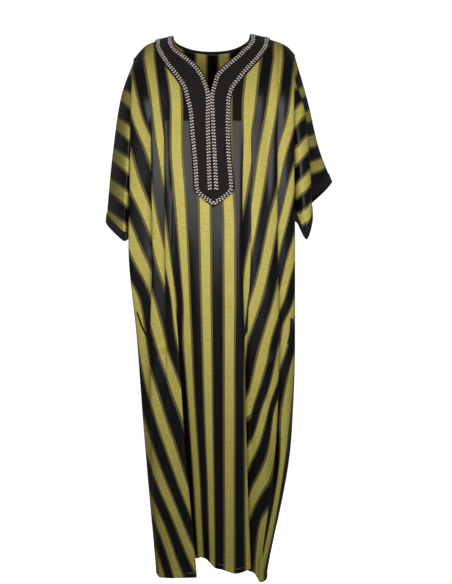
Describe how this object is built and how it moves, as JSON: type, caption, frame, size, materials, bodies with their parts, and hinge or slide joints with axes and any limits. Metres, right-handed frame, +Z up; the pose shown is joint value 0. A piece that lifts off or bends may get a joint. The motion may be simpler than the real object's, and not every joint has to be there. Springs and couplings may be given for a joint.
{
  "type": "djellaba",
  "caption": "Wide full-length striped djellaba with short sleeves, a V neck and a braided band and placket, in its worn hollow shape.",
  "frame": {"origin": "middle of the neck opening, level with the shoulders beside the neck, where the wearer holds it up", "axes": "+Z up, +X towards the wearer's left, the front faces -Y"},
  "size_m": [0.6031, 0.3407, 1.4344],
  "materials": {
    "striped_cloth": "light woven cloth with mustard yellow and satin black warp stripes",
    "black_trim": "fine ribbed black knit band",
    "cream_braid": "cream and beige plaited braid on black"
  },
  "bodies": {
    "root": {"front": "striped_cloth", "back": "striped_cloth", "sleeve_right": "striped_cloth", "sleeve_left": "striped_cloth", "cuff_right": "black_trim", "cuff_left": "black_trim", "band_right": "black_trim", "band_left": "black_trim", "band_back": "black_trim", "braid_inner_right": "cream_braid", "braid_inner_left": "cream_braid", "braid_inner_back": "cream_braid", "braid_outer_right": "cream_braid", "braid_outer_left": "cream_braid", "braid_outer_back": "cream_braid"}
  },
  "joints": []
}
